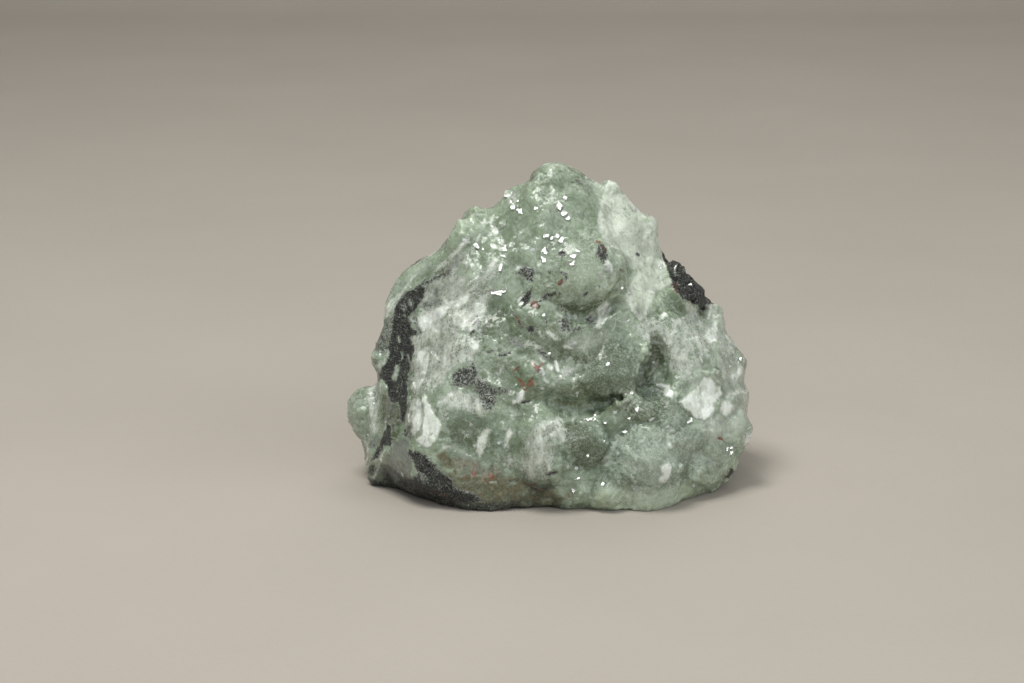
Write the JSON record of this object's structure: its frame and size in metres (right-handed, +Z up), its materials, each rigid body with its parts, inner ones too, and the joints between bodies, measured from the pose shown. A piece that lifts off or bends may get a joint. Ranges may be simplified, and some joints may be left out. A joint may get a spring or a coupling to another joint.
{
  "type": "prehnite cluster",
  "caption": "Free-standing natural prehnite specimen: rounded green botryoidal growth on white quartz with a dark matrix vein, resting on a flat foot.",
  "frame": {"origin": "centre of the bounding box at the foot's flat underside", "axes": "+X to the specimen's right as seen from its green front, +Y to the back, +Z up"},
  "size_m": [0.074, 0.0476, 0.0585],
  "materials": {
    "prehnite": "glassy, slightly translucent, with milky quartz and dark vein"
  },
  "bodies": {
    "root": {"prehnite_cluster": "prehnite"}
  },
  "joints": []
}
